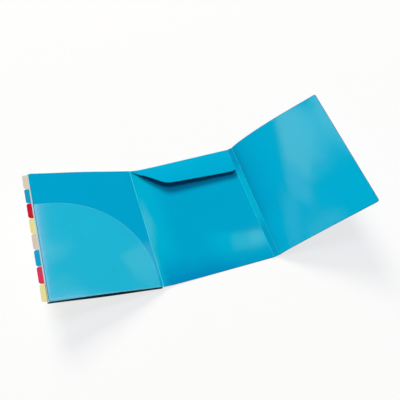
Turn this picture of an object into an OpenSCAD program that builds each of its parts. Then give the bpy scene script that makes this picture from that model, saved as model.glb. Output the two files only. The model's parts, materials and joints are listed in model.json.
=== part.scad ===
// Document sorter folder, laid open on its back: a creased polypropylene cover with a top flap,
// and a book of tabbed divider leaves with a corner pocket that turns over on the left crease.
// Millimetres, +Z up. The origin is the centre of the back panel's underside, +X points to the
// front cover and +Y to the top flap.

/* [Cover sheet] */
// Height of the panels, along the side creases
panel_h = 320; // [290:1:360]
// Width of the back panel, from crease to crease
back_w = 254; // [240:1:290]
// Width of the front cover, from its crease to its free edge
cover_w = 242; // [200:1:250]
// Thickness of the polypropylene sheet
sheet_t = 0.8; // [0.5:0.05:1.2]
// Radius of the round web that each crease bends on
crease_r = 0.6; // [0.4:0.05:0.9]
// Running gap between a crease web and the sheet beside it
crease_gap = 0.15; // [0.1:0.01:0.3]
// Radius of the free corners of the front cover and the sorter panel
corner_r = 5; // [1:0.5:15]
// Width of the back panel's left margin that bends up to the left crease
ramp_w = 16; // [10:1:24]

/* [Opening angles] */
// Lift of the divider book off the table, in degrees
book_tilt = 18.5; // [5:0.5:60]
// Lift of the spine strip off the table, in degrees
spine_tilt = 20; // [0:1:30]
// Lift of the front cover off the table, in degrees
cover_tilt = 32; // [20:1:80]

/* [Top flap] */
// Depth of the flap at its slanted end, from its crease to its free edge
flap_d = 70; // [50:1:90]
// Extra depth of the flap at its right end
flap_skew = 7; // [0:0.5:10]
// How far the flap's left end slants in, from the left crease to the free edge
flap_slant = 75; // [50:1:110]
// Depth of the flap's slanted end at the left crease
flap_tip = 4; // [0:0.5:10]
// How far the flap's right end tapers in
flap_taper = 1; // [0:0.5:20]
// Radius of the flap's large left corner
flap_big_r = 40; // [6:1:60]
// Radius of the flap's small right corner
flap_small_r = 12; // [2:0.5:20]
// Bare width between the flap's right end and the spine crease
flap_end_gap = 2; // [2:0.5:12]
// Room between the raised flap and the divider book closed over it
flap_room = 0.4; // [0.2:0.1:1]

/* [Divider book] */
// Number of divider leaves
leaf_count = 8; // [4:1:12]
// Thickness of a divider leaf
leaf_t = 0.14; // [0.1:0.02:0.3]
// Thickness of an index tab
tab_t = 0.25; // [0.15:0.01:0.4]
// Air above each tab
leaf_gap = 0.11; // [0.08:0.01:0.3]
// How far the leaves stop short of the panel's top and bottom edges
leaf_inset = 0.5; // [0.5:0.5:5]
// How far the leaves stand out past the sorter panel's free edge
leaf_proud = 2.5; // [1:0.5:6]
// How far the tabs stand out past the sorter panel's free edge
tab_reach = 13; // [9:0.5:20]
// How far a tab is rooted on its leaf
tab_root = 6; // [3:0.5:12]
// Gap between two tabs in the row
tab_gap = 1; // [0.5:0.5:4]
// Radius of the tabs' outer corners
tab_r = 5.5; // [2:0.5:8]
// Clear space between the tabs and the spine strip when the folder is closed
spine_room = 3; // [2:0.5:10]
// Clear space under the leaves at the crease when the book lies flat
book_lift = 2.6; // [1:0.1:6]
// Clear space over the leaves under the closed cover
lid_room = 1.8; // [0.5:0.1:6]
// Width of the welded margins that bind the leaves
binding_w = 2; // [1.5:0.1:6]

/* [Corner pocket] */
// Height of the pocket film
pocket_h = 234; // [150:1:260]
// Bare width of panel between the pocket film and the left crease
pocket_bare = 7; // [5:0.5:40]
// Radius of the pocket's large corner
pocket_r = 193; // [60:1:200]
// Radius of the pocket film's other corners
film_r = 2; // [0.5:0.5:4]
// Inset of the pocket film from the panel's edges
pocket_edge = 1.5; // [0.5:0.5:5]
// Thickness of the pocket film
film_t = 0.2; // [0.1:0.05:0.4]
// Thickness of the welds under the film, which is the pocket's gap
weld_t = 0.2; // [0.1:0.05:0.4]
// Width of the welds
weld_w = 4; // [2:0.5:8]

/* [Hidden] */
// Colours of the sheet, its creases, the film, the leaves and the row of tabs
sheet_colour = "#02a5d0";
crease_colour = "#59c8e4";
film_colour = "#2fb6d6";
leaf_colour = "#cfe9ea";
tab_colours = ["#e5d8c8", "#16a7d4", "#d8182f", "#efe79a"];

// Steps in a rounded corner, in the pocket's large corner and in the bent margin
corner_steps = 8;
pocket_steps = 32;
ramp_steps = 12;
$fn = 32;

// Depth of the stack of leaves, from the sorter panel's middle plane down
leaf_pitch = leaf_t + tab_t + leaf_gap;
stack_d = sheet_t / 2 + leaf_count * leaf_pitch;
// Axis of the left crease
crease_x = -back_w / 2;
crease_z = stack_d + book_lift;
// Axis of the spine crease, and the spine's width, which is the closed folder's thickness
spine_x = back_w / 2;
spine_z = crease_r;
spine_w = crease_z + stack_d + lid_room + sheet_t / 2 - spine_z;
// Axis of the flap crease, and the flap's lift that still lets the book close over it
flap_y = panel_h / 2 - crease_r;
flap_z = sheet_t + crease_r;
flap_tilt = asin((crease_z - sheet_t - flap_room - flap_z) / (flap_d + flap_skew));
// Ends of the flap along its crease
flap_left = crease_x + ramp_w;
flap_right = spine_x - flap_end_gap;
// Start of a sheet beside a crease web
sheet_start = crease_r + crease_gap;
// Width of the sorter panel and of the leaves, from the left crease
sorter_w = back_w - spine_room - tab_reach;
leaf_w = sorter_w + leaf_proud;
leaf_h = panel_h - 2 * leaf_inset;
tab_slot = leaf_h / leaf_count;
// Start and end of the leaves' bound margins, from the left crease
binding_start = sheet_start + crease_gap;
leaf_start = binding_start + binding_w + crease_gap;
// Sides of the pocket film, from the left crease and from the panel's middle
pocket_out = sorter_w - pocket_edge;
pocket_foot = -panel_h / 2 + pocket_edge;
pocket_top = -panel_h / 2 + pocket_h;

function unit(v) = v / norm(v);

// Points of one rounded corner at b, between its neighbours a and c
function corner(a, b, c, r, steps) =
    let (u = unit(a - b), v = unit(c - b), half = acos(u * v) / 2,
         centre = b + unit(u + v) * r / sin(half),
         spoke = b + u * r / tan(half) - centre,
         turn = -sign(cross(u, v)) * (180 - 2 * half))
    [for (i = [0:steps]) let (t = turn * i / steps)
        centre + [spoke.x * cos(t) - spoke.y * sin(t), spoke.x * sin(t) + spoke.y * cos(t)]];

// Outline through points, each with its own corner radius, where 0 keeps the corner sharp
function rounded(points, radii, steps) =
    let (n = len(points))
    [for (i = [0:n - 1]) each radii[i] == 0 ? [points[i]] :
        corner(points[(i + n - 1) % n], points[i], points[(i + 1) % n], radii[i], steps)];

// Height of the bent margin's upper face, from 0 at the crease to 1 where it lies flat
function ramp_top(u) = sheet_t + (crease_z - crease_r - sheet_t) * (1 - u * u * (3 - 2 * u));

// How far the upper face of leaf k lies under the sorter panel's middle plane
function leaf_depth(k) = stack_d - leaf_t - (k - 1) * leaf_pitch;

// Frames of the moving panels: each has its crease axis at the origin, along Y or along X
module on_book() translate([crease_x, 0, crease_z]) rotate([0, book_tilt, 0]) children();
module on_spine() translate([spine_x, 0, spine_z]) rotate([0, -spine_tilt, 0]) children();
module on_cover()
    on_spine() translate([spine_w, 0, 0]) rotate([0, spine_tilt - cover_tilt, 0]) children();
module on_flap() translate([0, flap_y, flap_z]) rotate([-flap_tilt, 0, 0]) children();

// Flat sheet of thickness t around the middle plane
module sheet(outline, t) linear_extrude(t, center = true) polygon(outline);

// Sheet from x = near to x = far and as high as the panels, with its far corners rounded
module panel(near, far, r) {
    half = panel_h / 2;
    sheet(rounded([[near, -half], [far, -half], [far, half], [near, half]], [0, r, r, 0],
                  corner_steps), sheet_t);
}

// Round crease web along Y
module web(length) rotate([90, 0, 0]) cylinder(r = crease_r, h = length, center = true);

module back_panel() {
    ramp = [for (i = [0:ramp_steps]) [crease_x + ramp_w * i / ramp_steps, ramp_top(i / ramp_steps)]];
    lip = [crease_x - crease_r, ramp_top(0)];
    edge = [spine_x - sheet_start, sheet_t];
    top = concat([lip], ramp, [edge]);
    under = [for (i = [len(top) - 1:-1:0]) top[i] - [0, sheet_t]];
    color(sheet_colour) rotate([90, 0, 0])
        linear_extrude(panel_h, center = true) polygon(concat(top, under));
}

module left_crease()
    color(crease_colour) translate([crease_x, 0, crease_z]) web(panel_h);

module spine_crease()
    color(crease_colour) translate([spine_x, 0, spine_z]) web(panel_h);

module spine_strip()
    color(sheet_colour) on_spine() panel(sheet_start, spine_w - sheet_start, 0);

module cover_crease()
    color(crease_colour) on_spine() translate([spine_w, 0, 0]) web(panel_h);

module front_cover()
    color(sheet_colour) on_cover() panel(sheet_start, cover_w, corner_r);

module flap_crease()
    color(crease_colour) translate([(flap_left + flap_right) / 2, flap_y, flap_z])
        rotate([0, 90, 0]) cylinder(r = crease_r, h = flap_right - flap_left, center = true);

module top_flap() {
    notch = -flap_tip - (flap_d - flap_tip) * ramp_w / flap_slant;
    points = [[flap_left, -sheet_start], [flap_left, notch], [crease_x + flap_slant, -flap_d],
              [flap_right - flap_taper, -flap_d - flap_skew], [flap_right, -sheet_start]];
    color(sheet_colour) on_flap()
        sheet(rounded(points, [0, 0, flap_big_r, flap_small_r, 0], corner_steps), sheet_t);
}

module sorter_panel()
    color(sheet_colour) on_book() panel(-sheet_start, -sorter_w, corner_r);

module corner_pocket() {
    points = [[-pocket_out, pocket_foot], [-pocket_bare, pocket_foot], [-pocket_bare, pocket_top],
              [-pocket_out, pocket_top]];
    color(film_colour) on_book() translate([0, 0, (sheet_t + film_t) / 2 + weld_t])
        sheet(rounded(points, [film_r, film_r, pocket_r, film_r], pocket_steps), film_t);
}

module pocket_weld_side()
    color(film_colour) on_book() translate([-pocket_out, pocket_foot + film_r, sheet_t / 2])
        cube([weld_w, pocket_top - pocket_foot - 2 * film_r, weld_t]);

module pocket_weld_foot()
    color(film_colour) on_book() translate([-pocket_out + weld_w, pocket_foot, sheet_t / 2])
        cube([pocket_out - weld_w - pocket_bare - film_r, weld_w, weld_t]);

module leaf_binding()
    color(leaf_colour) on_book()
        translate([-binding_start - binding_w, -leaf_h / 2, -stack_d])
            cube([binding_w, leaf_h, stack_d - sheet_t / 2 - leaf_gap]);

module divider(k)
    color(leaf_colour) on_book() translate([-leaf_w, -leaf_h / 2, -leaf_depth(k) - leaf_t])
        cube([leaf_w - leaf_start, leaf_h, leaf_t]);

module tab(k) {
    high = leaf_h / 2 - (k - 1) * tab_slot - tab_gap / 2;
    low = high - tab_slot + tab_gap;
    near = tab_root - leaf_w;
    far = -sorter_w - tab_reach;
    color(tab_colours[(k - 1) % len(tab_colours)]) on_book()
        translate([0, 0, tab_t / 2 - leaf_depth(k)])
            sheet(rounded([[near, low], [near, high], [far, high], [far, low]], [0, 0, tab_r, tab_r],
                          corner_steps), tab_t);
}

back_panel();
left_crease();
spine_crease();
spine_strip();
cover_crease();
front_cover();
flap_crease();
top_flap();
sorter_panel();
corner_pocket();
pocket_weld_side();
pocket_weld_foot();
leaf_binding();
for (k = [1:leaf_count]) {
    divider(k);
    tab(k);
}
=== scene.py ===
"""Looks of an open document sorter folder: creased polypropylene sheet, a film pocket, leaves and tabs.

Everything is in metres, in the frame of the solids: +X points to the front cover, +Y to the top flap.
"""

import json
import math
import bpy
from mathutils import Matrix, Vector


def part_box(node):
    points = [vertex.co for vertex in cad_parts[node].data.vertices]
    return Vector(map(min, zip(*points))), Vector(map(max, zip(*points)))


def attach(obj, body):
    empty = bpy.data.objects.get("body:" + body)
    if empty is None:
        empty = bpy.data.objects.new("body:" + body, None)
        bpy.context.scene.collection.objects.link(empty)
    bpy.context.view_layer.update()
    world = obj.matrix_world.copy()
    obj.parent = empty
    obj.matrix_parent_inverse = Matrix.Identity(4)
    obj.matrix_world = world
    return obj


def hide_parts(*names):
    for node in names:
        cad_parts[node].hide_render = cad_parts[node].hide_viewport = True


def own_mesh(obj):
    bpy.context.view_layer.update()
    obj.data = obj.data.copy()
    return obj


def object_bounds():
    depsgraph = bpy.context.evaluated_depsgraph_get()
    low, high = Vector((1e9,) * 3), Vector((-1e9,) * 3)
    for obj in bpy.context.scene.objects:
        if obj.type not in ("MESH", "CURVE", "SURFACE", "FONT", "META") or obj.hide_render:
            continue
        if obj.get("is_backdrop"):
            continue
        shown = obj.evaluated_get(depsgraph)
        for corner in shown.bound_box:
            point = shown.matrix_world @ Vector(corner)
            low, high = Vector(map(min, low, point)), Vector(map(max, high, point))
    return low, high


bl_info = {
    "name": "Document Sorter Folder",
    "version": (1, 0, 0),
    "blender": (4, 5, 0),
    "location": "View3D > Sidebar > Folder",
    "description": "Dresses the folder's solids with bent sheets, film, leaves and tabs, and sets a stage",
    "category": "Object",
}

import bmesh
import bpy
from bpy.props import FloatProperty, FloatVectorProperty, PointerProperty
from bpy.types import Operator, Panel, PropertyGroup
from mathutils import Quaternion, Vector

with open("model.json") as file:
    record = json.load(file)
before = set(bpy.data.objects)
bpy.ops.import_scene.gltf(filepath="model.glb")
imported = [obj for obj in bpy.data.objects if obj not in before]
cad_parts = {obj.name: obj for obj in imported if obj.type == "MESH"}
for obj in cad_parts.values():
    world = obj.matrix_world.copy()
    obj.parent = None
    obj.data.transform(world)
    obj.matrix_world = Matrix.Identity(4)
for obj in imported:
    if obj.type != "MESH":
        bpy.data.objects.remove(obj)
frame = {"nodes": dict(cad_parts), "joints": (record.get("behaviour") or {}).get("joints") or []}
SOLIDS_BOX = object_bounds()
JOINTS = {joint["name"]: joint for joint in frame["joints"]}
LEAF_COUNT = sum(name.startswith("divider_") for name in frame["nodes"])
MM = 0.001


def linear(hex_colour):
    """The linear red, green and blue of an sRGB hex colour."""
    channels = [int(hex_colour[i:i + 2], 16) / 255 for i in (1, 3, 5)]
    return tuple(c / 12.92 if c <= 0.04045 else ((c + 0.055) / 1.055) ** 2.4 for c in channels)


def length(name, description, millimetres):
    """A length that a user can change, given in millimetres."""
    return FloatProperty(name=name, description=description, default=millimetres * MM, unit="LENGTH",
                         precision=4)


def angle(name, description, degrees):
    """An angle that a user can change, given in degrees."""
    return FloatProperty(name=name, description=description, default=math.radians(degrees),
                         subtype="ANGLE")


def colour(name, description, hex_colour):
    """A colour that a user can change, given as sRGB hex."""
    return FloatVectorProperty(name=name, description=description, default=linear(hex_colour),
                               subtype="COLOR", min=0.0, max=1.0)


class FOLDER_PG_sheet(PropertyGroup):
    """The creased polypropylene sheet: cover, spine, back and flap."""
    # Painted shade: width of the darker margin along the back panel's front edge.
    front_painted_shade_w: length("Front shade", "Width of the darker margin along the back panel's front edge", 62)
    corner_r: length("Corner radius", "Radius of the free corners of the cover and sorter panel", 5)
    cover_bow: length("Cover bow", "How far the cover's top edge swells off its flat plane", 7.3)
    cover_lift: length("Cover lift", "How far the cover's free top corner stands off its flat plane", 4.2)
    cover_roll: length("Cover roll", "How far the cover rolls up steeper beside its crease", 2.2)
    cover_roll_w: length("Cover roll width", "Distance from the crease that the roll dies out over", 8)
    flap_curl: length("Flap curl", "How far the flap's free edge curls up", 11)
    flap_skew: length("Flap skew", "Extra depth of the flap at its right end", 7)
    flap_slant: length("Flap slant", "Run of the flap's slanted end, from the left crease", 75)
    flap_tip: length("Flap tip", "Depth of the flap's slanted end at the left crease", 4)
    flap_big_r: length("Flap round corner", "Radius of the flap's large left corner", 40)
    flap_small_r: length("Flap small corner", "Radius of the flap's small right corner", 12)
    panel: colour("Panel", "Sheet of the sorter panel, over its leaves", "#00ADDB")
    # Painted light: the cover's sheet gets a lighter colour than the panel's, in place of light coming
    # through it from behind.
    cover: colour("Cover", "Sheet of the cover, where light comes through from behind", "#00B7E1")
    # Lighter than the panel's sheet: where the painted shade is taken off, by the left crease and in the
    # front right corner, it shows painted light.
    back: colour("Back", "Sheet of the back, spine and flap, close over the pale floor", "#00B7DB")
    edge: colour("Cut edge", "Cut edge of the sheet", "#067FA2")
    pale_edge: colour("Lit edge", "Cut edge at the sorter panel's foot, where light leaves the sheet",
                      "#7FD3E6")
    # Partly stretch whitening and partly a painted highlight: the creases' colours are raised, with their
    # gloss nearly off.
    crease: colour("Crease", "Sheet stretched pale in the left crease, which is bent most", "#58F0F8")
    fold: colour("Fold", "Sheet a little paler in the other creases", "#24D2EA")


class FOLDER_PG_book(PropertyGroup):
    """The divider book: panel, pocket, leaves and tabs."""
    panel_bow: length("Panel bow", "How far the sorter panel swells off its flat plane", 1.8)
    foot_proud: length("Foot edges", "How far the leaves' foot edges show past the panel's foot", 2.4)
    leaf_sag: length("Leaf sag", "How far the lowest leaf sags under its flat plane", 2.4)
    pocket_r: length("Pocket corner", "Radius of the pocket's large corner", 193)
    film_r: length("Film corner", "Radius of the film's other corners", 2)
    rim_w: length("Film rim", "Width of the film's bright cut rim", 0.8)
    tab_r: length("Tab corner", "Radius of the tabs' outer corners", 5.5)
    # Haze by the welds, which down the side weld is also a painted highlight.
    haze_and_sheen_w: length("Film haze", "Distance from its welds that the film's haze dies out over", 7)
    film: colour("Film", "Tint of the pocket film", "#59FFE7")
    # Painted highlight on the film's cut rim, where its edge catches the light; on the welds it is their
    # whitening.
    film_rim_glint_and_weld: colour("Film rim", "Tint of the film's cut rim and its welds", "#B4ECF8")
    leaf: colour("Leaf", "Milky divider leaf", "#C4E6E6")
    # Painted shade: the leaves' stacked edges, their foot rims and the binding are near-black, for the
    # shade inside the stack.
    leaf_edge_shade: colour("Leaf edge", "Stacked cut edges of the leaves, which no light leaves", "#083440")


class FOLDER_PG_stage(PropertyGroup):
    """The camera, lamps and floor."""
    azimuth: angle("Azimuth", "Camera azimuth, 0 looking along +Y", -19.3)
    elevation: angle("Elevation", "Camera elevation above the table", 56.07)
    roll: angle("Roll", "Turn of the camera about its own line of sight", 2.15)
    distance: length("Distance", "Distance from the camera to the point it looks at", 1218)
    aim_right: length("Aim right", "How far right of the origin the camera looks", 3)
    aim_up: length("Aim up", "How far above the origin the camera looks, in the picture", 30.6)
    lens: FloatProperty(name="Lens", description="Focal length on a 36 mm sensor, in millimetres",
                        default=46.8)
    floor: colour("Floor", "Matt paper floor", "#F9F9F9")


class Fold:
    """A sheet's own axes: u runs out from its crease, v along the crease, and n off its upper face."""

    def __init__(self, pivot, out, along, normal):
        self.pivot, self.out, self.along, self.normal = (Vector(a) for a in (pivot, out, along, normal))

    def point(self, u, v, height):
        """Place at (u, v) and this height."""
        return self.pivot + u * self.out + v * self.along + height * self.normal

    def extent(self, node):
        """Lowest and highest (u, v, height) of a solid."""
        found = [[(p.co - self.pivot).dot(a) for p in frame["nodes"][node].data.vertices]
                 for a in (self.out, self.along, self.normal)]
        return [min(f) for f in found], [max(f) for f in found]


def side_fold(joint, side, tilt):
    """Fold along Y that rises by tilt degrees to one side, 1 for right and -1 for left."""
    c = math.cos(math.radians(tilt))
    s = math.sin(math.radians(tilt))
    return Fold(JOINTS[joint]["pos_m"], (side * c, 0, s), (0, 1, 0), (-side * s, 0, c))


# At rest each fold is as far from lying flat as its joint can still open.
BOOK_TILT, SPINE_TILT, COVER_BEND = (
    -JOINTS[name]["range_deg"][0] for name in ("sorter_fold", "spine_fold", "cover_fold"))
BACK = Fold((0, 0, 0), (1, 0, 0), (0, 1, 0), (0, 0, 1))
BOOK = side_fold("sorter_fold", -1, BOOK_TILT)
SPINE = side_fold("spine_fold", 1, SPINE_TILT)
COVER = side_fold("cover_fold", 1, SPINE_TILT + COVER_BEND)
FLAP_PIVOT = Vector(JOINTS["flap_fold"]["pos_m"])
FLAP_RISE = Vector((0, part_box("top_flap")[0].y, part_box("top_flap")[1].z)) - FLAP_PIVOT
FLAP_TILT = math.atan2(FLAP_RISE.z, -FLAP_RISE.y)
FLAP = Fold(FLAP_PIVOT, (0, -math.cos(FLAP_TILT), math.sin(FLAP_TILT)), (1, 0, 0),
            (0, math.sin(FLAP_TILT), math.cos(FLAP_TILT)))
SHEET_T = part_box("flap_crease")[0].z
MARGIN_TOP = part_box("left_crease")[0].z
# The bent sheets start a hair's gap off a crease's web, so that the pale floor doesn't show through.
WEB_R = (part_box("left_crease")[1].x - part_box("left_crease")[0].x) / 2
WEB_EDGE = WEB_R + 0.03 * MM
# A cut that runs this close to a point goes through it, so that no sliver is left.
SNAP = 0.02 * MM
# A face of the rim runs along an edge that is this near.
EDGE_BAND = 2 * MM
# Edges sharper than this aren't smoothed over. A kink is so slight that it needs an angle of its own.
SHARP_DEG = 40
KINK_DEG = 2.5


def fade(place, start_mm, end_mm):
    """Smooth step from 0 at one place to 1 at another."""
    t = (place / MM - start_mm) / (end_mm - start_mm)
    t = min(1.0, max(0.0, t))
    return t * t * (3 - 2 * t)


def rounded(corners, steps=10):
    """Outline through corners of (u, v, radius)."""
    outline = []
    for i, (u, v, r) in enumerate(corners):
        here = Vector((u, v))
        if r == 0:
            outline.append(here)
            continue
        before = (Vector(corners[i - 1][:2]) - here).normalized()
        after = (Vector(corners[(i + 1) % len(corners)][:2]) - here).normalized()
        half = before.angle(after) / 2
        centre = here + (before + after).normalized() * r / math.sin(half)
        start = here + before * r / math.tan(half) - centre
        end = here + after * r / math.tan(half) - centre
        for k in range(steps + 1):
            outline.append(centre + r * start.slerp(end, k / steps))
    return outline


def rectangle(low, high, far_r=0):
    """Outline of a sheet between two extents, with round corners on the side far from the crease."""
    return rounded([(low[0], low[1], 0), (high[0], low[1], far_r), (high[0], high[1], far_r),
                    (low[0], high[1], 0)])


def cut_into_cells(outline, cell, rim, kink):
    """A flat face with this outline, cut into a grid of cells, with a rim of the second material.

    A kink is one more cut, at this u.
    """
    cells = bmesh.new()
    cells.faces.new([cells.verts.new((u, v, 0)) for u, v in outline])
    if rim:
        cells.normal_update()
        for face in bmesh.ops.inset_individual(cells, faces=cells.faces[:], thickness=rim)["faces"]:
            face.material_index = 1
    for axis in (0, 1):
        low = min(p[axis] for p in outline)
        high = max(p[axis] for p in outline)
        count = max(1, round((high - low) / cell))
        normal = Vector((axis == 0, axis == 1, 0))
        cuts = [low + (high - low) * i / count for i in range(1, count)]
        if kink and axis == 0:
            cuts = [c for c in cuts if abs(c - kink) > cell / 4] + [kink]
        for cut in cuts:
            everything = cells.verts[:] + cells.edges[:] + cells.faces[:]
            bmesh.ops.bisect_plane(cells, geom=everything, dist=SNAP, plane_co=normal * cut,
                                   plane_no=normal)
    cells.verts.index_update()
    return cells


def bent_sheet(name, fold, outline, middle, thickness, cell, bend, materials, rim=0, rim_slot=None,
               painted_light_and_haze=None, kink=None):
    """A closed sheet cut to an outline and bent off its fold's plane by bend(u, v).

    Its middle surface lies at the height middle. Faces take the first material, and cut edges and a rim of
    this width the second, unless rim_slot(u, v) says which. The mesh keeps tone(u, v) for its material.
    """
    cells = cut_into_cells(outline, cell, rim, kink)
    probe = 0.1 * MM
    upper, lower, painted_light_and_haze_values = [], [], []
    for vert in cells.verts:
        u, v = vert.co.x, vert.co.y
        slope_u = (bend(u + probe, v) - bend(u - probe, v)) / (2 * probe)
        slope_v = (bend(u, v + probe) - bend(u, v - probe)) / (2 * probe)
        off = (fold.normal - slope_u * fold.out - slope_v * fold.along).normalized() * thickness / 2
        place = fold.point(u, v, middle + bend(u, v))
        upper.append(place + off)
        lower.append(place - off)
        painted_light_and_haze_values.append(painted_light_and_haze(u, v) if painted_light_and_haze else 0.0)
    count = len(upper)
    if rim_slot:
        for face in cells.faces:
            if face.material_index:
                centre = face.calc_center_median()
                face.material_index = rim_slot(centre.x, centre.y)
    faces = [[v.index for v in f.verts] for f in cells.faces]
    faces += [[v.index + count for v in reversed(f.verts)] for f in cells.faces]
    slots = 2 * [f.material_index for f in cells.faces]
    for edge in cells.edges:
        if edge.is_boundary:
            loop = edge.link_loops[0]
            a, b = loop.vert.index, loop.link_loop_next.vert.index
            middle_uv = (loop.vert.co + loop.link_loop_next.vert.co) / 2
            faces.append([a + count, b + count, b, a])
            slots.append(rim_slot(middle_uv.x, middle_uv.y) if rim_slot else 1)
    cells.free()
    mesh = bpy.data.meshes.new(name)
    mesh.from_pydata(upper + lower, [], faces)
    for material in materials:
        mesh.materials.append(material)
    for polygon, slot in zip(mesh.polygons, slots):
        polygon.material_index = slot
    # Each point keeps a value for its material: painted shade and painted light on the sheet, and haze with
    # a painted highlight on the film.
    mesh.attributes.new("painted_light_and_haze", "FLOAT", "POINT").data.foreach_set("value", 2 * painted_light_and_haze_values)
    solid = bmesh.new()
    solid.from_mesh(mesh)
    bmesh.ops.recalc_face_normals(solid, faces=solid.faces)
    solid.to_mesh(mesh)
    solid.free()
    mesh.shade_smooth()
    mesh.set_sharp_from_angle(angle=math.radians(KINK_DEG if kink else SHARP_DEG))
    piece = bpy.data.objects.new(name, mesh)
    bpy.context.scene.collection.objects.link(piece)
    return piece


def dress(piece, body, slot, *nodes):
    """The piece rides on a body and stands for solids. The slot is not used."""
    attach(piece, body)
    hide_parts(*nodes)
    return piece


def unbent(u, v):
    """No bend."""
    return 0.0


def add_node(tree, kind, inputs=None, **choices):
    """Adds a node with its choices, and sets or links its inputs."""
    node = tree.nodes.new(kind)
    for name, value in choices.items():
        setattr(node, name, value)
    for name, value in (inputs or {}).items():
        if isinstance(value, bpy.types.NodeSocket):
            tree.links.new(value, node.inputs[name])
        else:
            node.inputs[name].default_value = value
    return node


# Refractive index of polypropylene.
PP_IOR = 1.49
# The real grain is about 0.3 mm. It is drawn at 6 mm, so that it shows from a step away.
GRAIN_MM = 6.0
# Shares of red, green and blue that are left where the sheet's colour takes its full painted shade.
PAINTED_SHADE_SHARES = (0.7, 0.54, 0.77)
# Light that comes back off the pigmented sheet keeps a little of its green.
GLOSS_TINT = "#E6FFA3"
FILM_HAZE_AND_SHEEN = "#F3F9FF"
WHITE = (*linear("#FFFFFF"), 1)
# Down the book's free edge: clear, blue, red and yellow, twice over. The second red is lighter and pinker,
# a painted reflection of a lamp on the same red plastic.
TAB_COLOURS = ("#E5D5C6", "#1FA3CB", "#CF1734", "#F0E89E", "#E3D4C3", "#17A8D8", "#E53A60", "#F2EBA6")


def new_material(name):
    """A material with its shader and the object's own coordinates, and its node tree."""
    material = bpy.data.materials.new(name)
    material.use_nodes = True
    tree = material.node_tree
    shader = tree.nodes["Principled BSDF"]
    place = add_node(tree, "ShaderNodeTexCoord").outputs["Object"]
    return material, tree, shader, place


def grain_bump(tree, shader, place, size_mm, height_mm):
    """A fine grain of this size pressed into the surface."""
    grain = add_node(tree, "ShaderNodeTexNoise", {
        "Vector": place, "Scale": 1 / (size_mm * MM), "Detail": 2})
    bump = add_node(tree, "ShaderNodeBump", {"Height": grain.outputs["Fac"], "Strength": 1.0,
                                             "Distance": height_mm * MM})
    tree.links.new(bump.outputs["Normal"], shader.inputs["Normal"])


def shaded(tree, place, tint, size_mm, share):
    """A colour that drifts darker by a share over patches of this size."""
    drift = add_node(tree, "ShaderNodeTexNoise", {"Vector": place, "Scale": 1 / (size_mm * MM)})
    mix = add_node(tree, "ShaderNodeMix", {"Factor": drift.outputs["Fac"]}, data_type="RGBA")
    mix.inputs["A"].default_value = (*(c * (1 - share) for c in tint), 1)
    mix.inputs["B"].default_value = (*tint, 1)
    return mix.outputs["Result"]


def polypropylene_sheet(name, tint, grain_mm, grain_depth_mm, roughness):
    """Extruded polypropylene with a fine pressed grain, which gives a gloss with soft lamp patches."""
    material, tree, shader, place = new_material(name)
    # Painted shade and painted light: the colour darkens by the value that the mesh keeps at each point.
    shade = add_node(tree, "ShaderNodeAttribute", attribute_name="painted_light_and_haze").outputs["Fac"]
    drifting = shaded(tree, place, tint, size_mm=90, share=0.06)
    mix = add_node(tree, "ShaderNodeMix", {"Factor": shade, "A": drifting}, data_type="RGBA")
    mix.inputs["B"].default_value = (*(c * share for c, share in zip(tint, PAINTED_SHADE_SHARES)), 1)
    tree.links.new(mix.outputs["Result"], shader.inputs["Base Color"])
    # Handling leaves the gloss a little uneven, in patches of about 35 mm.
    wear = add_node(tree, "ShaderNodeTexNoise", {"Vector": place, "Scale": 1 / (35 * MM), "Detail": 3})
    rough = add_node(tree, "ShaderNodeMapRange", {
        "Value": wear.outputs["Fac"], "To Min": roughness - 0.02, "To Max": roughness + 0.02})
    tree.links.new(rough.outputs["Result"], shader.inputs["Roughness"])
    shader.inputs["IOR"].default_value = PP_IOR
    shader.inputs["Specular IOR Level"].default_value = 0.25
    shader.inputs["Specular Tint"].default_value = (*linear(GLOSS_TINT), 1)
    grain_bump(tree, shader, place, grain_mm, grain_depth_mm)
    return material


def polypropylene_edge(name, tint):
    """Edge of a sheet cut by a steel rule die, duller than its face."""
    material, tree, shader, place = new_material(name)
    worn = shaded(tree, place, tint, size_mm=6, share=0.15)
    tree.links.new(worn, shader.inputs["Base Color"])
    shader.inputs["Roughness"].default_value = 0.45
    shader.inputs["IOR"].default_value = PP_IOR
    shader.inputs["Specular IOR Level"].default_value = 0.15
    return material


def stretched_crease(name, tint):
    """Polypropylene thinned by a crease rule, which whitens in short streaks along the crease, with a
    painted highlight.
    """
    material, tree, shader, place = new_material(name)
    streaks = add_node(tree, "ShaderNodeMapping", {"Vector": place, "Scale": (1, 0.15, 1)})
    streaked = shaded(tree, streaks.outputs["Vector"], tint, size_mm=2, share=0.2)
    tree.links.new(streaked, shader.inputs["Base Color"])
    shader.inputs["Roughness"].default_value = 0.5
    shader.inputs["IOR"].default_value = PP_IOR
    # Nearly no gloss, since the raised colour paints the crease's highlight.
    shader.inputs["Specular IOR Level"].default_value = 0.02
    return material


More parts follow.
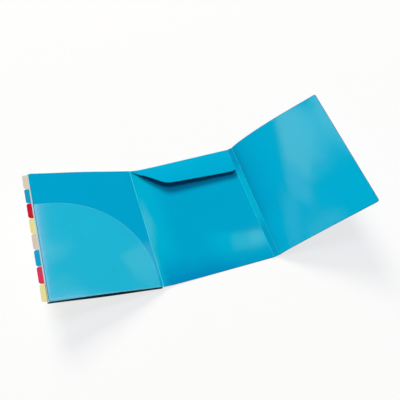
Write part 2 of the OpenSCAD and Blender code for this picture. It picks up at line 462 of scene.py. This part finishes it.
def cast_film(name, tint, opacity, roughness):
    """Cast polypropylene film, clear with a wet gloss, that turns hazy white beside its welds, with a
    painted highlight down its side weld.
    """
    material, tree, shader, place = new_material(name)
    haze_and_sheen = add_node(tree, "ShaderNodeAttribute", attribute_name="painted_light_and_haze").outputs["Fac"]
    mix = add_node(tree, "ShaderNodeMix", {"Factor": haze_and_sheen}, data_type="RGBA")
    mix.inputs["A"].default_value = (*tint, 1)
    mix.inputs["B"].default_value = (*linear(FILM_HAZE_AND_SHEEN), 1)
    tree.links.new(mix.outputs["Result"], shader.inputs["Base Color"])
    milky = add_node(tree, "ShaderNodeMapRange", {
        "Value": haze_and_sheen, "To Min": opacity, "To Max": opacity + 0.06})
    tree.links.new(milky.outputs["Result"], shader.inputs["Alpha"])
    shader.inputs["Roughness"].default_value = roughness
    shader.inputs["IOR"].default_value = PP_IOR
    # Thin film ripples by half a millimetre over about 45 mm.
    ripple = add_node(tree, "ShaderNodeTexNoise", {"Vector": place, "Scale": 1 / (45 * MM), "Detail": 1})
    bump = add_node(tree, "ShaderNodeBump", {"Height": ripple.outputs["Fac"], "Strength": 1.0,
                                             "Distance": 0.5 * MM})
    tree.links.new(bump.outputs["Normal"], shader.inputs["Normal"])
    return material


def made_once(name, maker, **values):
    """The material of this name, which its maker makes at the first call."""
    return bpy.data.materials.get(name) or maker(name, **values)


def low_sheet():
    """Face of the sheet that lies close over the pale floor, in a lighter colour that its painted shade
    darkens.
    """
    return made_once("Polypropylene sheet, over the pale floor", polypropylene_sheet,
                     tint=bpy.context.scene.folder_sheet.back, grain_mm=GRAIN_MM, grain_depth_mm=0.03,
                     roughness=0.05)


def cut_edge():
    """Dark cut edge of the sheet."""
    return made_once("Polypropylene sheet, cut edge", polypropylene_edge,
                     tint=bpy.context.scene.folder_sheet.edge)


def pale_crease():
    """The most stretched crease."""
    return made_once("Creased polypropylene, stretched pale", stretched_crease,
                     tint=bpy.context.scene.folder_sheet.crease)


def paint(node, material):
    """Gives a solid that shows as it is one material."""
    frame["nodes"][node].data.materials.clear()
    frame["nodes"][node].data.materials.append(material)


# The back panel's left margin: where a stretch starts and ends, in mm from the crease, and its slopes
# there, as shares of the slope at the crease.
MARGIN = ((0, 24, 1.0, 0.66), (24, 130, 0.16, 0.0))


def margin_height(x, y):
    """Height of the back panel's upper face: its left margin bends up to the crease."""
    u = max(0.0, x - BOOK.pivot.x) / MM
    rise = total = 0.0
    for near, far, steep, gentle in MARGIN:
        total += (far - near) * (steep + gentle) / 2
        if u < far:
            start = max(u, near)
            here = steep + (gentle - steep) * (start - near) / (far - near)
            rise += (far - start) * (here + gentle) / 2
    return SHEET_T + (MARGIN_TOP - SHEET_T) * rise / total


class FOLDER_OT_back_panel(Operator):
    """Back panel that lies on the table, with its left margin bent up to the crease"""
    bl_idname = "folder.back_panel"
    bl_label = "Back panel"

    def execute(self, context):
        low, high = BACK.extent("back_panel")
        high[0] = SPINE.pivot.x - WEB_EDGE
        sheet = context.scene.folder_sheet

        def shade(u, v):
            """Painted shade, darkest along the front edge, and painted light by the left crease and in the
            front right corner.
            """
            off_crease = u - BOOK.pivot.x
            # A slanted line bounds the corner of painted light, around a lamp's patch.
            in_corner = fade(u, -30, 50) * fade(-v - 0.3 * u, 45, 65)
            # A painted shade over the middle, taken off by the left crease and in the corner, which leaves
            # those painted light.
            middle = 0.36 * fade(off_crease, 15, 70) * (1 - 0.85 * in_corner)
            # The front margin of painted shade reaches furthest in at the left, and is weaker at both ends.
            reach = sheet.front_painted_shade_w * (1.6 - 0.6 * fade(u, -105, -45))
            front = (1 - min(1.0, (v - low[1]) / reach)) ** 1.5
            front *= 0.3 + 0.7 * fade(off_crease, 0, 20)
            front *= 1 - 0.45 * fade(u, -20, 100)
            return middle + (1 - middle) * front

        def rim_slot(u, v):
            """Pale along the left crease, with whitening and a painted highlight, and dark along the front
            edge.
            """
            if u < low[0] + EDGE_BAND:
                return 2
            return 1 if v < low[1] + EDGE_BAND else 0

        piece = bent_sheet("back_sheet", BACK, rectangle(low, high), middle=-SHEET_T / 2, thickness=SHEET_T,
                           cell=4 * MM, bend=margin_height,
                           materials=(low_sheet(), cut_edge(), pale_crease()), rim=1.6 * MM,
                           rim_slot=rim_slot, painted_light_and_haze=shade, kink=BOOK.pivot.x + MARGIN[0][1] * MM)
        dress(piece, "back", "blue_sheet", "back_panel")
        return {"FINISHED"}


class FOLDER_OT_creases(Operator):
    """Pale round webs of the creases, partly a painted highlight"""
    bl_idname = "folder.creases"
    bl_label = "Creases"

    def execute(self, context):
        fold = stretched_crease("Creased polypropylene", context.scene.folder_sheet.fold)
        for node in ("spine_crease", "cover_crease", "flap_crease"):
            paint(node, fold)
        paint("left_crease", pale_crease())
        return {"FINISHED"}


class FOLDER_OT_spine_and_cover(Operator):
    """Spine strip, and the front cover that swells a little along its top edge"""
    bl_idname = "folder.spine_and_cover"
    bl_label = "Spine and cover"

    def execute(self, context):
        sheet = context.scene.folder_sheet
        low, high = SPINE.extent("spine_strip")
        thickness = high[2] - low[2]
        # The strip's solid lies midway between its creases, so both sides grow alike.
        high[0] += low[0] - WEB_EDGE
        low[0] = WEB_EDGE

        def spine_shade(u, v):
            """Painted shade towards both ends; at the top it stands for the shadow of the flap."""
            return 0.65 * fade(v, 60, 120) + 0.5 * fade(-v, 50, 85)

        piece = bent_sheet("spine_sheet", SPINE, rectangle(low, high), middle=0, thickness=thickness,
                           cell=6 * MM, bend=unbent, materials=(low_sheet(), cut_edge()), painted_light_and_haze=spine_shade)
        dress(piece, "spine", "blue_sheet", "spine_strip")

        low, high = COVER.extent("front_cover")
        peak_at = 0.4
        peak = peak_at * (1 - peak_at) ** 1.5

        def swell(u, v):
            """Bow that is most at the top edge, a roll beside the crease and a lifted top corner."""
            # The sheet leaves its crease flat, so that it clears the web when the cover closes.
            past = max(0.0, u - 1 * MM)
            t = min(1.0, past / high[0])
            up = (v - low[1]) / (high[1] - low[1])
            bow = sheet.cover_bow * (0.25 + 0.75 * up) * t * (1 - t) ** 1.5 / peak
            roll = sheet.cover_roll * (1 - math.exp(-past / sheet.cover_roll_w)) * (1 - t)
            return bow + roll + sheet.cover_lift * (1.25 * up - 0.25) * t

        def cover_shade(u, v):
            """Painted shade beside the crease, most at its top."""
            return 0.43 * math.exp(-max(0.0, u) / (40 * MM)) * (1 - 0.8 * fade(-v, 20, 90))

        # Painted light: a lighter copy of the sheet for the cover.
        face = polypropylene_sheet("Polypropylene sheet, light coming through", sheet.cover,
                                   grain_mm=GRAIN_MM, grain_depth_mm=0.09, roughness=0.07)
        low[0] = WEB_EDGE
        piece = bent_sheet("cover_sheet", COVER, rectangle(low, high, sheet.corner_r), middle=0,
                           thickness=thickness, cell=6 * MM, bend=swell, materials=(face, cut_edge()),
                           rim=1.3 * MM, painted_light_and_haze=cover_shade)
        dress(piece, "cover", "blue_sheet", "front_cover")
        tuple(COVER.normal)
        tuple(COVER.pivot)
        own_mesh(piece)
        return {"FINISHED"}


class FOLDER_OT_top_flap(Operator):
    """Flap folded in over the back panel, its free edge curled up at the slanted end"""
    bl_idname = "folder.top_flap"
    bl_label = "Top flap"

    def execute(self, context):
        sheet = context.scene.folder_sheet
        low, high = FLAP.extent("top_flap")
        start = low[0]
        depth = high[0]
        crease = BOOK.pivot.x
        end = high[1]
        outline = rounded([
            (start, crease + 4 * MM, 0),
            (sheet.flap_tip, crease + 4 * MM, 0),
            (depth - sheet.flap_skew, crease + sheet.flap_slant, sheet.flap_big_r),
            (depth, end - 1 * MM, sheet.flap_small_r),
            (start, end, 0)])
        level = margin_height(0, FLAP.pivot.y)

        def curl(u, v):
            """Steep off its crease, then level, and over the bent margin.

            It is highest beside the slanted end, whose tip stays low, so that the opened book clears it.
            """
            held = (1.3 - 0.7 * fade(v, crease / MM, end / MM)) * fade(v - crease, 0, 35)
            out = min(1.0, max(0.0, u / depth))
            rise = margin_height(v, FLAP.pivot.y) - level
            return sheet.flap_curl * held * (1 - (1 - out) ** 2) + rise

        def flap_shade(u, v):
            """Painted shade over the whole flap, a little more towards its slanted end."""
            return 0.45 - 0.14 * fade(v - crease, 0, 90)

        piece = bent_sheet("flap_sheet", FLAP, outline, middle=0, thickness=high[2] - low[2], cell=4 * MM,
                           bend=curl, materials=(low_sheet(), cut_edge()), painted_light_and_haze=flap_shade)
        dress(piece, "flap", "blue_sheet", "top_flap")
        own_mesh(piece)
        return {"FINISHED"}


def book_bow(height):
    """Bend of a sheet of the book: it swells by a height half way out, and lies flat at both ends."""
    width = BOOK.extent("sorter_panel")[1][0]
    return lambda u, v: height * math.sin(math.pi * min(1.0, max(0.0, u / width))) ** 2


def flatten_with_book(piece, height):
    """Gives the piece a mesh of its own."""
    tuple(BOOK.normal)
    BOOK.point(0, 0, height)
    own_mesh(piece)


class FOLDER_OT_sorter_panel(Operator):
    """Sorter panel, the stiff leaf on top of the divider book"""
    bl_idname = "folder.sorter_panel"
    bl_label = "Sorter panel"

    def execute(self, context):
        sheet = context.scene.folder_sheet
        book = context.scene.folder_book
        low, high = BOOK.extent("sorter_panel")
        face = polypropylene_sheet("Polypropylene sheet, grained", sheet.panel, grain_mm=GRAIN_MM,
                                   grain_depth_mm=0.03, roughness=0.05)
        lit_edge = polypropylene_edge("Polypropylene sheet, lit edge", sheet.pale_edge)

        def rim_slot(u, v):
            """Plain along the crease, pale along the foot and dark along the other edges."""
            if u < low[0] + EDGE_BAND:
                return 0
            return 1 if v < low[1] + EDGE_BAND else 2

        piece = bent_sheet("sorter_sheet", BOOK, rectangle(low, high, sheet.corner_r), middle=0,
                           thickness=high[2] - low[2], cell=6 * MM, bend=book_bow(book.panel_bow),
                           materials=(face, lit_edge, cut_edge()), rim=1.0 * MM, rim_slot=rim_slot)
        dress(piece, "sorter", "blue_sheet", "sorter_panel")
        flatten_with_book(piece, 0)
        return {"FINISHED"}


class FOLDER_OT_corner_pocket(Operator):
    """Clear film pocket with one large round corner, its rim with a painted highlight and its two welds"""
    bl_idname = "folder.corner_pocket"
    bl_label = "Corner pocket"

    def execute(self, context):
        book = context.scene.folder_book
        low, high = BOOK.extent("corner_pocket")
        film = cast_film("Cast polypropylene film, clear", book.film, opacity=0.08, roughness=0.07)
        # The cut rim's pale tint is a painted highlight.
        rim = cast_film("Cast polypropylene film, cut rim", book.film_rim_glint_and_weld, opacity=0.14, roughness=0.2)
        weld = cast_film("Cast polypropylene film, welded", book.film_rim_glint_and_weld, opacity=0.05, roughness=0.2)
        middle = (low[2] + high[2]) / 2
        outline = rounded([(high[0], low[1], book.film_r), (high[0], high[1], book.film_r),
                           (low[0], high[1], book.pocket_r), (low[0], low[1], book.film_r)],
                          steps=48)
        width_mm = high[0] / MM

        def haze_and_sheen(u, v):
            """Haze along both welds, with a painted highlight down the side one: the side one, more to its
            top, and the outer part of the foot one.
            """
            up = (v - low[1]) / (high[1] - low[1])
            side = (0.6 + 0.6 * up) * math.exp(-(high[0] - u) / (book.haze_and_sheen_w * (0.7 + 0.9 * up)))
            foot = 0.7 * math.exp(-(v - low[1]) / book.haze_and_sheen_w) * fade(u, 0.375 * width_mm, width_mm)
            return max(side, foot)

        piece = bent_sheet("pocket_film", BOOK, outline, middle=middle, thickness=high[2] - low[2],
                           cell=6 * MM, bend=book_bow(book.panel_bow), materials=(film, rim),
                           rim=book.rim_w, painted_light_and_haze=haze_and_sheen)
        # Clear film throws no shadow worth seeing on the panel under it.
        piece.visible_shadow = False
        dress(piece, "sorter", "clear_film", "corner_pocket")
        flatten_with_book(piece, middle)
        for node in ("pocket_weld_side", "pocket_weld_foot"):
            paint(node, weld)
        return {"FINISHED"}


class FOLDER_OT_divider_leaves(Operator):
    """Milky divider leaves, each sagging a little more than the one above, and their binding"""
    bl_idname = "folder.divider_leaves"
    bl_label = "Divider leaves"

    def execute(self, context):
        book = context.scene.folder_book
        face = polypropylene_sheet("Polypropylene leaf, milky", book.leaf, grain_mm=3.0,
                                   grain_depth_mm=0.01, roughness=0.35)
        edge = polypropylene_edge("Polypropylene leaf, stacked cut edge", book.leaf_edge_shade)
        # The binding takes the same painted shade.
        paint("leaf_binding", edge)
        for k in range(1, LEAF_COUNT + 1):
            low, high = BOOK.extent(f"divider_{k}")
            low[1] -= book.foot_proud
            share = (k - 1) / (LEAF_COUNT - 1)
            bow = book_bow(-book.leaf_sag + (book.leaf_sag + book.panel_bow) * share)
            # A leaf fills its share of the stack, with the thickness of its tab.
            top = BOOK.extent(f"tab_{k}")[1][2]
            middle = (low[2] + top) / 2

            def rim_slot(u, v, low=low, high=high):
                """Painted shade along the foot and on the cut top edge, and pale along the free edge."""
                at_foot = v < low[1] + 3 * MM
                on_top_edge = v > high[1] - 0.1 * MM
                return 1 if (at_foot or on_top_edge) and u < high[0] - EDGE_BAND else 0

            piece = bent_sheet(f"leaf_sheet_{k}", BOOK, rectangle(low, high), middle=middle,
                               thickness=top - low[2], cell=8 * MM, bend=bow, materials=(face, edge),
                               rim=2.4 * MM, rim_slot=rim_slot)
            dress(piece, "book" if k == 1 else f"leaf_{k}", "divider_leaf", f"divider_{k}")
            flatten_with_book(piece, middle)
        return {"FINISHED"}


class FOLDER_OT_index_tabs(Operator):
    """Row of coloured index tabs, one on each leaf"""
    bl_idname = "folder.index_tabs"
    bl_label = "Index tabs"

    def execute(self, context):
        book = context.scene.folder_book
        slots = ("tab_clear", "tab_blue", "tab_red", "tab_yellow")
        for k in range(1, LEAF_COUNT + 1):
            tint = linear(TAB_COLOURS[(k - 1) % len(TAB_COLOURS)])
            face = polypropylene_sheet(f"Polypropylene tab {k}", tint, grain_mm=1.5, grain_depth_mm=0.01,
                                       roughness=0.28)
            darker = [c * 0.6 for c in tint]
            edge = polypropylene_edge(f"Polypropylene tab {k}, cut edge", darker)
            low, high = BOOK.extent(f"tab_{k}")
            piece = bent_sheet(f"index_tab_{k}", BOOK, rectangle(low, high, book.tab_r),
                               middle=(low[2] + high[2]) / 2, thickness=high[2] - low[2], cell=4 * MM,
                               bend=unbent, materials=(face, edge))
            dress(piece, "book" if k == 1 else f"leaf_{k}", slots[(k - 1) % len(slots)], f"tab_{k}")
        return {"FINISHED"}


def direction(azimuth, elevation):
    """Unit vector towards a place seen from the origin: azimuth runs from +Y to +X."""
    a = math.radians(azimuth)
    e = math.radians(elevation)
    return Vector((math.sin(a) * math.cos(e), math.cos(a) * math.cos(e), math.sin(e)))


# Two large lights, and small boxes that the sheet mirrors: azimuth from +Y to +X, elevation, width and
# height, all in degrees, then radiance, and the box's turn in degrees. A white surface that sees a radiance
# of 1 all round looks white.
SOFT_BOXES = {
    "overhead": (0, 84, 18, 18, 10.5, 0),
    "behind": (-6, 40, 20, 24, 22.8, 0),
    "left box": (-40.2, 46.4, 10.0, 5.8, 3.7, 0),
    "left high box": (-39.5, 50.1, 6.0, 1.6, 2.6, 0),
    "left dim box": (-50.5, 45.4, 4.2, 5.4, 2.0, 0),
    "left far box": (-57.2, 42.5, 5.5, 5.0, 1.0, 0),
    "left strip": (-56.7, 49.3, 1.2, 7.2, 2.7, 29),
    "right box": (53, 41.2, 4.5, 2.8, 1.6, 0),
    "right foot box": (43.5, 53.0, 5.0, 2.2, 1.5, 0),
    "right mid box": (35, 51.0, 5.0, 4.6, 0.9, 0),
    "right mid core": (35.4, 50.9, 3.6, 2.8, 1.2, 0),
    "right high box": (31, 59.9, 3.7, 1.9, 1.5, 20),
    "right high core": (33, 59.1, 2.3, 1.6, 1.8, 25),
}
BOX_DISTANCE = 20.0  # metres
# The main light is a little warm and the fill a little cool, which leaves the shadows blue.
BOX_TINTS = {"overhead": "#D8E6FF", "behind": "#FFF6E6"}


class FOLDER_OT_stage(Operator):
    """Pale floor, soft studio light and the camera"""
    bl_idname = "folder.stage"
    bl_label = "Stage"

    def execute(self, context):
        self.make_floor(context)
        self.make_world(context)
        self.make_lamps(context)
        self.make_camera(context)
        context.scene.view_settings.view_transform = "Standard"
        return {"FINISHED"}

    def make_floor(self, context):
        """Paper under the folder, a hair lower than its back."""
        half = 4.0
        drop = 0.05 * MM
        mesh = bpy.data.meshes.new("floor")
        mesh.from_pydata([(-half, -half, -drop), (half, -half, -drop), (half, half, -drop),
                          (-half, half, -drop)], [], [(0, 1, 2, 3)])
        material, tree, shader, place = new_material("Matt paper backdrop")
        paper = shaded(tree, place, context.scene.folder_stage.floor, size_mm=400, share=0.01)
        tree.links.new(paper, shader.inputs["Base Color"])
        shader.inputs["Roughness"].default_value = 0.9
        shader.inputs["Specular IOR Level"].default_value = 0.0
        # The camera sees the paper part lit from below, as on a light table, so its shadows stay pale.
        glow = add_node(tree, "ShaderNodeEmission", {"Color": WHITE, "Strength": 1.0})
        seen = add_node(tree, "ShaderNodeLightPath").outputs["Is Camera Ray"]
        part = add_node(tree, "ShaderNodeMapRange", {"Value": seen, "To Max": 0.75})
        mix = add_node(tree, "ShaderNodeMixShader", {"Fac": part.outputs["Result"]})
        tree.links.new(shader.outputs["BSDF"], mix.inputs[1])
        tree.links.new(glow.outputs["Emission"], mix.inputs[2])
        tree.links.new(mix.outputs["Shader"], tree.nodes["Material Output"].inputs["Surface"])
        mesh.materials.append(material)
        floor = bpy.data.objects.new("floor", mesh)
        context.scene.collection.objects.link(floor)
        floor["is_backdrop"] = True

    def make_world(self, context):
        """White for the camera. The sheet sees a dim room, a little brighter in front."""
        world = bpy.data.worlds.new("Dim studio")
        world.use_nodes = True
        tree = world.node_tree
        tree.nodes.clear()
        side = add_node(tree, "ShaderNodeTexCoord").outputs["Generated"]
        split = add_node(tree, "ShaderNodeSeparateXYZ", {"Vector": side})
        level = add_node(tree, "ShaderNodeMapRange", {
            "Value": split.outputs["Y"], "From Min": -0.6, "From Max": 0.2, "To Min": 0.12, "To Max": 0.02})
        room = add_node(tree, "ShaderNodeBackground", {
            "Color": WHITE, "Strength": level.outputs["Result"]})
        white = add_node(tree, "ShaderNodeBackground", {"Color": WHITE, "Strength": 0.98})
        seen = add_node(tree, "ShaderNodeLightPath").outputs["Is Camera Ray"]
        mix = add_node(tree, "ShaderNodeMixShader", {"Fac": seen})
        tree.links.new(room.outputs["Background"], mix.inputs[1])
        tree.links.new(white.outputs["Background"], mix.inputs[2])
        add_node(tree, "ShaderNodeOutputWorld", {"Surface": mix.outputs["Shader"]})
        context.scene.world = world

    def make_lamps(self, context):
        """Area lamps, each the size that it looks from the folder."""
        for name, (azimuth, elevation, wide, high, radiance, turn) in SOFT_BOXES.items():
            width, height = (2 * BOX_DISTANCE * math.tan(math.radians(a / 2)) for a in (wide, high))
            lamp = bpy.data.lights.new(name, "AREA")
            lamp.shape = "RECTANGLE"
            lamp.size = width
            lamp.size_y = height
            lamp.energy = radiance * math.pi * width * height
            lamp.color = linear(BOX_TINTS.get(name, "#FFFFFF"))
            place = bpy.data.objects.new(name, lamp)
            towards = direction(azimuth, elevation)
            place.location = towards * BOX_DISTANCE
            upright = towards.to_track_quat("Z", "Y")
            place.rotation_euler = (upright @ Quaternion((0, 0, 1), math.radians(turn))).to_euler()
            place.visible_camera = False
            # The gloss mirrors the small boxes alone, because a large light would hide the sheet's colour.
            place.visible_glossy = name not in BOX_TINTS
            context.scene.collection.objects.link(place)

    def make_camera(self, context):
        """Camera above the folder's front left, a little rolled."""
        stage = context.scene.folder_stage
        a = stage.azimuth
        e = stage.elevation
        back = Vector((math.sin(a) * math.cos(e), -math.cos(a) * math.cos(e), math.sin(e)))
        right = Vector((math.cos(a), math.sin(a), 0))
        aim = right * stage.aim_right + back.cross(right) * stage.aim_up
        lens = bpy.data.cameras.new("camera")
        lens.lens = stage.lens
        lens.sensor_width = 36
        camera = bpy.data.objects.new("camera", lens)
        camera.location = aim + back * stage.distance
        level = back.to_track_quat("Z", "Y")
        camera.rotation_euler = (level @ Quaternion((0, 0, 1), stage.roll)).to_euler()
        context.scene.collection.objects.link(camera)
        context.scene.camera = camera


class FOLDER_PT_sidebar(Panel):
    """Lists the folder's pieces and settings"""
    bl_idname = "FOLDER_PT_sidebar"
    bl_label = "Document Sorter Folder"
    bl_space_type = "VIEW_3D"
    bl_region_type = "UI"
    bl_category = "Folder"

    def draw(self, context):
        for operator in OPERATORS:
            self.layout.operator(operator.bl_idname)
        for key in GROUPS:
            group = getattr(context.scene, key)
            box = self.layout.box()
            for name in group.__annotations__:
                box.prop(group, name)


GROUPS = {"folder_sheet": FOLDER_PG_sheet, "folder_book": FOLDER_PG_book, "folder_stage": FOLDER_PG_stage}
OPERATORS = (FOLDER_OT_stage, FOLDER_OT_back_panel, FOLDER_OT_creases, FOLDER_OT_spine_and_cover,
             FOLDER_OT_top_flap, FOLDER_OT_sorter_panel, FOLDER_OT_corner_pocket,
             FOLDER_OT_divider_leaves, FOLDER_OT_index_tabs)
CLASSES = (*GROUPS.values(), *OPERATORS, FOLDER_PT_sidebar)


def register():
    for cls in CLASSES:
        bpy.utils.register_class(cls)
    for name, group in GROUPS.items():
        setattr(bpy.types.Scene, name, PointerProperty(type=group))


def unregister():
    for name in GROUPS:
        delattr(bpy.types.Scene, name)
    for cls in reversed(CLASSES):
        bpy.utils.unregister_class(cls)


def main():
    register()
    bpy.ops.folder.stage()
    bpy.ops.folder.back_panel()
    bpy.ops.folder.creases()
    bpy.ops.folder.spine_and_cover()
    bpy.ops.folder.top_flap()
    bpy.ops.folder.sorter_panel()
    bpy.ops.folder.corner_pocket()
    bpy.ops.folder.divider_leaves()
    bpy.ops.folder.index_tabs()
    boxes = {"solids": SOLIDS_BOX, "visual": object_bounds()}
    {name: [list(corner) for corner in box] for name, box in boxes.items()}


if __name__ == "__main__":
    main()
